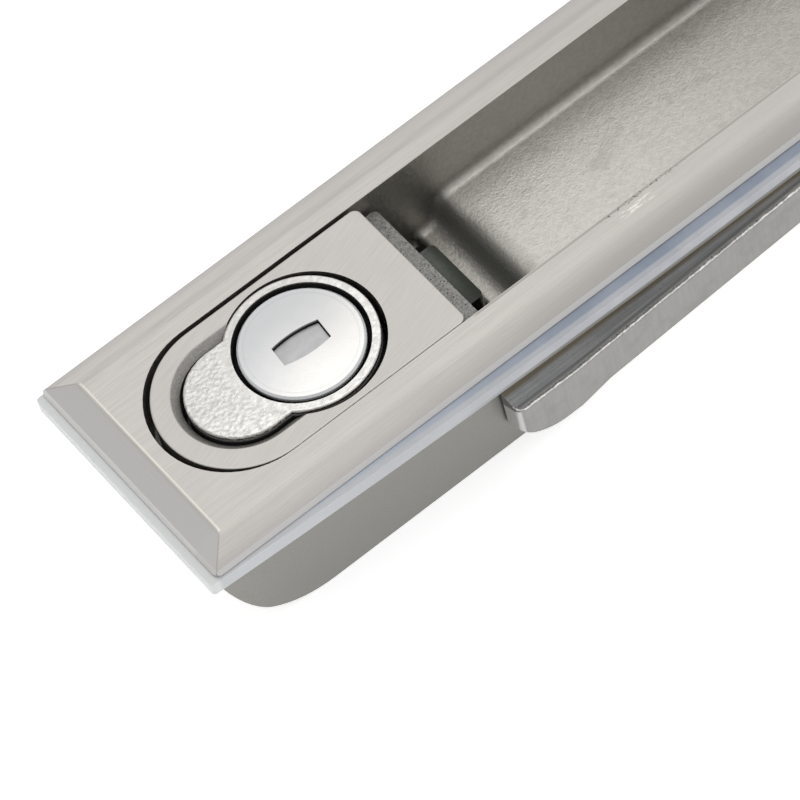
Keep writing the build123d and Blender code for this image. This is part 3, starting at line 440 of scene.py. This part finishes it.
def plug_material():
    """Smooth satin face, slightly domed, with a painted sheen across it and a painted highlight on its
    rim chamfer; nearly black below the face and in the key slot as painted shade.
    """
    m = Nodes("plug_satin")
    x, y, z, _ = m.position()
    r = m.away(plug_x, 0)
    slot_reach = 3.8
    cloud = m.noise(0.16, 2, 0.5)
    fine = m.noise(5, 2, 0.5)

    # Painted sheen: light and warm towards high X and low Y, bluish towards low X and high Y, broken up
    # by broad clouds.
    across = m.minus(m.times(m.minus(x, plug_x), 0.45), y)
    satin = m.ramp(m.plus(across, m.times(m.minus(cloud, 0.5), 8)), -6, 6)
    tone = m.colour(satin, (0.595, 0.603, 0.608), (0.745, 0.732, 0.705))
    turned_line = m.window(r, (plug_r - 0.95, plug_r - 0.8), (plug_r - 0.75, plug_r - 0.6))
    tone = m.colour(m.times(turned_line, 0.2), tone, (0.45, 0.45, 0.46))
    # Painted shade, nearly black, in the key slot and on the plug below its face; these are also rough
    # and not metallic.
    slot = m.times(m.fall(r, slot_reach, slot_reach + 0.1), m.fall(z, face - 0.35, face - 0.02))
    dark = m.larger(m.fall(z, face - 0.75, face - 0.5), slot)
    tone = m.colour(dark, tone, (0.02, 0.02, 0.02))
    # Painted highlight on the chamfer round the rim, which is also made less metallic.
    rim = m.times(m.rise(r, plug_r - 0.3, plug_r - 0.24), m.inverse(dark))
    tone = m.colour(rim, tone, (0.72, 0.73, 0.74))

    rough = m.number(dark, m.ramp(fine, 0.3, 0.7, 0.20, 0.26), 0.7)
    dome = m.times(r, r, -0.004)
    m.relief((m.plus(dome, m.times(cloud, 0.05)), 1.0), (fine, 0.002))
    return m.finish(tone, rough, m.inverse(m.larger(dark, m.times(rim, 0.8))))


# ---------------------------------------------------------------- cam, catch and handle

def cam_material():
    """Rolled top with long scratches, painted light on it, a painted shade line inside its outer edge
    and painted glints on that edge; ground sides with faint marks across them, darker in patches below
    the top, with painted shade and light on the tip.
    """
    m = Nodes("steel_cam")
    x, y, z, _ = m.position()
    on_top = m.ramp(m.maths("ABSOLUTE", m.slope()), 0.5, 0.8)
    scratch = m.noise(1.2, 5, 0.7, (0.07, 2.4, 1))
    marks = m.noise(1.2, 5, 0.7, (2.6, 2.6, 0.12))
    cloud = m.noise(0.35, 4, 0.6)
    speck = m.noise(3.0, 4, 0.7)

    # Painted light: the top, which lies in shade under the flange, is much lighter than the sides; the
    # long scratches are its own.
    top = m.mottled(scratch, (0.57, 0.58, 0.59), (0.90, 0.91, 0.93))
    top = m.colour(m.ramp(speck, 0.58, 0.66, 0, 0.5), top, (0.34, 0.34, 0.32))
    top = m.colour(m.ramp(cloud, 0.45, 0.62, 0, 0.35), top, (0.60, 0.63, 0.66))
    finger_length, finger_slope = 8.1, 0.0428
    past_finger = m.larger(m.plus(x, -cam_low[0] - finger_length), 0.0)
    from_edge = m.minus(m.plus(y, -cam_low[1]), m.times(past_finger, finger_slope))
    # Painted shade: a dark line just inside the burr along the top's outer edge.
    burr_foot_shade = m.times(m.window(from_edge, (0.45, 0.6), (0.8, 1.05)), 0.55)
    top = m.colour(burr_foot_shade, top, (0.22, 0.22, 0.21))
    # Painted glints: near-white specks along the top's outer edge.
    edge_glints = m.times(m.ramp(from_edge, 0.30, 0.55, 1, 0), m.ramp(speck, 0.40, 0.56, 0, 0.8))
    top = m.colour(edge_glints, top, (1.0, 0.99, 0.97))
    under_gasket = m.ramp(y, cam_low[1] + 2.5, cam_low[1] + 3.1, 0, 0.75)
    top = m.colour(under_gasket, top, (0.40, 0.32, 0.19))

    side = m.mottled(marks, (0.29, 0.287, 0.278), (0.34, 0.336, 0.326))
    side = m.colour(m.ramp(cloud, 0.45, 0.7, 0, 0.4), side, (0.235, 0.231, 0.22))
    # Darker in patches along the upper part of the ground sides.
    patchy_dark_below_top = m.times(m.ramp(z, cam_high[2] - 0.75, cam_high[2] - 0.35),
                     m.ramp(m.noise(5.0, 3, 0.7), 0.45, 0.60, 0, 0.6))
    side = m.colour(patchy_dark_below_top, side, (0.16, 0.155, 0.145))
    # On the tip, painted shade on the slanted band along its top and painted light on the end face
    # below it.
    tip = m.ramp(x, cam_low[0] + 0.3, cam_low[0] + 0.5, 1, 0)
    slanting = m.plus(z, m.times(m.plus(y, -cam_low[1]), 0.5))
    tip_shade_band = m.ramp(slanting, cam_high[2] - 0.45, cam_high[2] - 0.25)
    side = m.colour(m.times(tip, tip_shade_band), side, (0.16, 0.16, 0.15))
    side = m.colour(m.times(tip, m.inverse(tip_shade_band)), side, (0.60, 0.596, 0.585))

    rough = m.number(on_top, m.ramp(marks, 0.3, 0.7, 0.38, 0.48), m.ramp(scratch, 0.3, 0.7, 0.32, 0.45))
    tarnish = m.number(on_top, 0.35, 0.62)
    m.relief((m.times(on_top, scratch), 0.012), (m.times(m.inverse(on_top), marks), 0.008),
             (cloud, 0.05))
    return m.finish(m.colour(on_top, side, top), rough, m.inverse(tarnish))


def catch_material():
    """Steel painted very dark as shade down in its hole, darker still towards the cam side and along
    its outer edge.
    """
    m = Nodes("steel_catch")
    x, y, _, _ = m.position()
    fine = m.noise(2.0, 4, 0.6)
    # Painted shade: the whole catch is near black, darker again towards low Y and high X.
    tone = m.mottled(fine, (0.07, 0.074, 0.066), (0.10, 0.105, 0.095))
    tone = m.colour(m.ramp(y, catch_high[1] - 2, catch_low[1], 0, 0.85), tone, (0.035, 0.037, 0.032))
    outer_edge_shade = m.ramp(x, catch_high[0] - 1.7, catch_high[0] - 0.2, 0, 0.75)
    tone = m.colour(outer_edge_shade, tone, (0.026, 0.028, 0.024))
    m.relief((fine, 0.02))
    return m.finish(tone, m.ramp(fine, 0.3, 0.7, 0.32, 0.42))


def handle_material():
    """Brushed along the grip."""
    m = Nodes("steel_handle")
    grain = m.noise(1.3, 5, 0.65, (2.4, 0.05, 0.1))
    tone = m.mottled(grain, (0.50, 0.475, 0.445), (0.60, 0.575, 0.545), 0.25, 0.75)
    tone = m.colour(m.ramp(m.noise(0.12, 3), 0.35, 0.7, 0, 0.35), tone, (0.52, 0.50, 0.475))
    m.relief((grain, 0.012))
    return m.finish(tone, m.ramp(grain, 0.3, 0.7, 0.30, 0.40))


# ---------------------------------------------------------------- gasket and general materials

def gasket_material():
    """Milky silicone with painted reflection, bluish on top and paler on its bulging edge; paler at the
    keyed end; a painted shadow along its lower edge.
    """
    m = Nodes("gasket_silicone")
    x, y, z, _ = m.position()
    cloud = m.noise(0.2, 3)
    fine = m.noise(2.5, 3)
    swelling = 1.8
    along = m.maths("DIVIDE", x, gasket_high[0])
    from_edge = m.minus(m.plus(y, -gasket_low[1]), m.times(along, along, swelling))
    near_end = m.ramp(x, gasket_low[0] + 2, gasket_low[0] + 62, 0.9, 0)

    # Painted reflection: level faces back from the bulging edge are bluish and darker, the edge and
    # steep faces paler.
    top = m.mottled(cloud, (0.225, 0.26, 0.325), (0.27, 0.305, 0.37), 0.35, 0.65)
    top = m.colour(near_end, top, (0.53, 0.57, 0.625))
    edge = m.mottled(cloud, (0.38, 0.39, 0.42), (0.43, 0.44, 0.465), 0.35, 0.65)
    edge = m.colour(near_end, edge, (0.52, 0.535, 0.55))
    on_top = m.times(m.ramp(m.slope(), 0.3, 0.8), m.ramp(from_edge, 0.55, 0.85))
    tone = m.colour(on_top, edge, top)
    tip = m.ramp(x, gasket_low[0] + 0.9, gasket_low[0] + 1.5, 1, 0)
    tone = m.colour(tip, tone, (0.64, 0.655, 0.65))
    # Painted shadow: near black along the gasket's lower edge, fading out towards the keyed end.
    shadow_under_gasket = m.times(m.ramp(z, gasket_low[2] + 0.7, gasket_low[2] + 0.4), m.ramp(x, -40, -20, 0, 0.8))
    tone = m.colour(shadow_under_gasket, tone, (0.10, 0.09, 0.07))

    m.bsdf.inputs["Subsurface Weight"].default_value = 0.15
    m.bsdf.inputs["Subsurface Radius"].default_value = (0.001, 0.001, 0.0012)
    m.relief((fine, 0.02))
    return m.finish(tone, m.ramp(fine, 0.3, 0.7, 0.45, 0.6), 0.0)


def metal_material(name, dark, light, rough, scale=1.5, depth=0.02, stretch=(1, 1, 1)):
    m = Nodes(name)
    fine = m.noise(scale, 4, 0.6, stretch)
    tone = m.mottled(fine, dark, light)
    tone = m.colour(m.ramp(m.noise(0.3, 3), 0.4, 0.7, 0, 0.4), tone, [0.8 * v for v in dark])
    m.relief((fine, depth))
    return m.finish(tone, m.ramp(fine, 0.3, 0.7, *rough))


def plastic_material(name, dark, light):
    m = Nodes(name)
    fine = m.noise(2.0, 3)
    m.relief((fine, 0.02))
    return m.finish(m.mottled(fine, dark, light), m.ramp(fine, 0.3, 0.7, 0.4, 0.55), 0.0)


zinc = metal_material("steel_zinc", (0.45, 0.46, 0.47), (0.58, 0.59, 0.60), (0.25, 0.38))
wire = metal_material("steel_wire", (0.30, 0.30, 0.31), (0.42, 0.42, 0.43), (0.22, 0.35),
                      scale=3.0, depth=0.01)
sheet = metal_material("steel_sheet", (0.34, 0.335, 0.32), (0.42, 0.415, 0.40), (0.35, 0.5),
                       scale=1.2, stretch=(0.1, 2, 2))
shutter = metal_material("steel_shutter", (0.43, 0.43, 0.435), (0.51, 0.51, 0.515), (0.38, 0.48),
                         scale=0.8, depth=0.01)
turned = metal_material("steel_turned", (0.46, 0.45, 0.44), (0.58, 0.57, 0.56), (0.22, 0.34),
                        depth=0.01, stretch=(1, 1, 4))
bronze = metal_material("bronze", (0.40, 0.27, 0.12), (0.52, 0.38, 0.19), (0.3, 0.42))
nylon = plastic_material("nylon_dark", (0.03, 0.03, 0.03), (0.05, 0.05, 0.05))

finishes = {
    "base_housing": housing_material(),
    "push_button": button_material(),
    "flange_gasket": gasket_material(),
    "lock_insert": insert_material(),
    "plug_barrel": plug_material(),
    "keyhole_shutter": shutter,
    "catch_slide": catch_material(),
    "latch_cam": cam_material(),
    "handle_lever": handle_material(),
    "spindle_bush": bronze,
    "thrust_washer": nylon,
}
for finish, names in (
    (turned, ("spindle_fork", "pivot_pin", "stop_pin", "guide_pins")),
    (sheet, ("case_cover", "catch_tray", "tail_cam")),
    (zinc, ("cam_washer", "cam_screw", "cover_screws", "insert_screws", "tail_screw")),
    (wire, ("catch_spring", "button_springs", "shutter_spring", "popup_springs", "guide_clips")),
):
    finishes.update(dict.fromkeys(names, finish))
for name, obj in nodes.items():
    obj.data.materials.clear()
    obj.data.materials.append(finishes[name])


# ---------------------------------------------------------------- springs carried by their bodies

def working_spring(node, body):
    """A copy of the node's coil, carried by the named body in place of the hidden node."""
    obj = bpy.data.objects.new(node + "_coil", nodes[node].data.copy())
    bpy.context.scene.collection.objects.link(obj)
    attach(obj, body)
    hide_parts(node)
    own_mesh(obj)


working_spring("button_springs", "base")
working_spring("catch_spring", "base")
working_spring("shutter_spring", "plug")


# ---------------------------------------------------------------- burr along the cam's upper edge

BURR_END = 0.045                        # X in metres, where the cam's edge turns in to its hub
BURR_STEP = 0.22 * MM


def top_edge(node):
    """Corners of the outer upper edge of a node, in order along X."""
    tops = [v.co for v in nodes[node].data.vertices if v.co.z > (cam_high[2] - 0.02) * MM]
    by_x = {}
    for co in tops:
        key = round(co.x, 5)
        if key not in by_x or co.y < by_x[key].y:
            by_x[key] = co
    hull = []
    for co in (by_x[key] for key in sorted(by_x) if key < BURR_END):
        while len(hull) > 1 and (hull[-1] - hull[-2]).cross(co - hull[-2]).z < 0:
            hull.pop()
        hull.append(co)
    return hull


def burr(name, corners):
    """A low, ragged ridge of metal thrown up along an edge."""
    rng = random.Random(7)
    path = []
    for a, b in zip(corners, corners[1:]):
        count = max(1, round((b - a).length / BURR_STEP))
        path += [a.lerp(b, i / count) for i in range(count)]
    path.append(corners[-1])
    bm = bmesh.new()
    rows = []
    height, out, inner = 0.08, 0.03, 0.4    # millimetres, each wandering as the ridge goes on
    for i, p in enumerate(path):
        along = (path[min(i + 1, len(path) - 1)] - path[max(i - 1, 0)]).normalized()
        side = Vector((along.y, -along.x, 0))
        height += 0.5 * (rng.choice((0.03, 0.05, 0.09, 0.18)) - height)
        out += 0.6 * (rng.uniform(-0.02, 0.09) - out)
        inner += 0.35 * (rng.uniform(0.25, 0.6) - inner)
        foot = rng.uniform(0.12, 0.3)
        section = ((-inner, -0.02), (out - 0.05, height), (out + 0.02, -0.06), (0.01, -foot))
        rows.append([bm.verts.new(p + side * s * MM + Vector((0, 0, h * MM))) for s, h in section])
    for a, b in zip(rows, rows[1:]):
        for k in range(4):
            bm.faces.new((a[k], b[k], b[(k + 1) % 4], a[(k + 1) % 4]))
    for row in (rows[0], rows[-1]):
        bm.faces.new(row)
    bmesh.ops.recalc_face_normals(bm, faces=bm.faces)
    mesh = bpy.data.meshes.new(name)
    bm.to_mesh(mesh)
    bm.free()
    obj = bpy.data.objects.new(name, mesh)
    bpy.context.scene.collection.objects.link(obj)
    return obj


cam_burr = burr("cam_burr", top_edge("latch_cam"))
# Pale up to near white and only half metallic: the burr's colour is partly painted glints.
burr_steel = metal_material("steel_burr", (0.50, 0.495, 0.48), (0.95, 0.94, 0.92), (0.25, 0.40),
                            scale=3.5, depth=0.06)
burr_steel.node_tree.nodes["Principled BSDF"].inputs["Metallic"].default_value = 0.5
cam_burr.data.materials.append(burr_steel)
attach(cam_burr, "spindle")


# ---------------------------------------------------------------- floor and light

def floor_material():
    """White card that is nearly as bright as the light on it."""
    m = Nodes("floor_white")
    m.bsdf.inputs["Emission Color"].default_value = (1, 1, 1, 1)
    m.bsdf.inputs["Emission Strength"].default_value = 0.6
    return m.finish(m.mottled(m.noise(0.01, 2), (0.80, 0.80, 0.80), (0.82, 0.82, 0.82)), 0.9, 0.0)


floor_level = cad_box[0][2] - 0.02 * MM
bpy.ops.mesh.primitive_plane_add(size=8.0, location=(0, 0, floor_level))
floor = bpy.context.object
floor.name = "floor"
floor.data.materials.append(floor_material())


def studio_world():
    """White sky, dimmer towards low X and low Y."""
    world = bpy.data.worlds.new("studio")
    bpy.context.scene.world = world
    world.use_nodes = True
    tree = world.node_tree
    coord = tree.nodes.new("ShaderNodeTexCoord")
    split = tree.nodes.new("ShaderNodeSeparateXYZ")
    tree.links.new(coord.outputs["Generated"], split.inputs[0])
    product = tree.nodes.new("ShaderNodeMath")
    product.operation = "MULTIPLY"
    for axis, limits in enumerate(((-0.75, 0.1, 0.62, 1.0), (-0.5, 0.15, 0.75, 1.0))):
        fade = tree.nodes.new("ShaderNodeMapRange")
        fade.interpolation_type = "SMOOTHSTEP"
        for socket, value in zip(("From Min", "From Max", "To Min", "To Max"), limits):
            fade.inputs[socket].default_value = value
        tree.links.new(split.outputs[axis], fade.inputs["Value"])
        tree.links.new(fade.outputs["Result"], product.inputs[axis])
    sky = tree.nodes["Background"]
    sky.inputs[0].default_value = (1, 1, 1, 1)
    tree.links.new(product.outputs[0], sky.inputs[1])


def area_light(name, place, size, power):
    """A rectangular lamp that shines straight down."""
    light = bpy.data.lights.new(name, "AREA")
    light.shape = "RECTANGLE"
    light.size, light.size_y = size
    light.energy = power
    obj = bpy.data.objects.new(name, light)
    bpy.context.scene.collection.objects.link(obj)
    obj.location = place


studio_world()
area_light("overhead", (0.0, 0.0, 1.0), (1.6, 1.2), 3)


# ---------------------------------------------------------------- camera

azimuth, elevation, roll = (math.radians(v) for v in (-23.229, 56.163, -17.311))
distance = 0.73455
target = Vector((-0.041115, -0.013983, 0.0043))
back = Vector((math.sin(azimuth) * math.cos(elevation), -math.cos(azimuth) * math.cos(elevation),
               math.sin(elevation)))
level = Vector((math.cos(azimuth), math.sin(azimuth), 0))
right = math.cos(roll) * level + math.sin(roll) * back.cross(level)
place = Matrix((right, back.cross(right), back)).transposed().to_4x4()
place.translation = target + back * distance
camera_data = bpy.data.cameras.new("camera")
camera_data.sensor_width = 36
camera_data.lens = 295.3
camera_data.clip_start = 0.01
camera = bpy.data.objects.new("camera", camera_data)
bpy.context.scene.collection.objects.link(camera)
camera.matrix_world = place
bpy.context.scene.camera = camera
bpy.context.scene.view_settings.view_transform = "Standard"
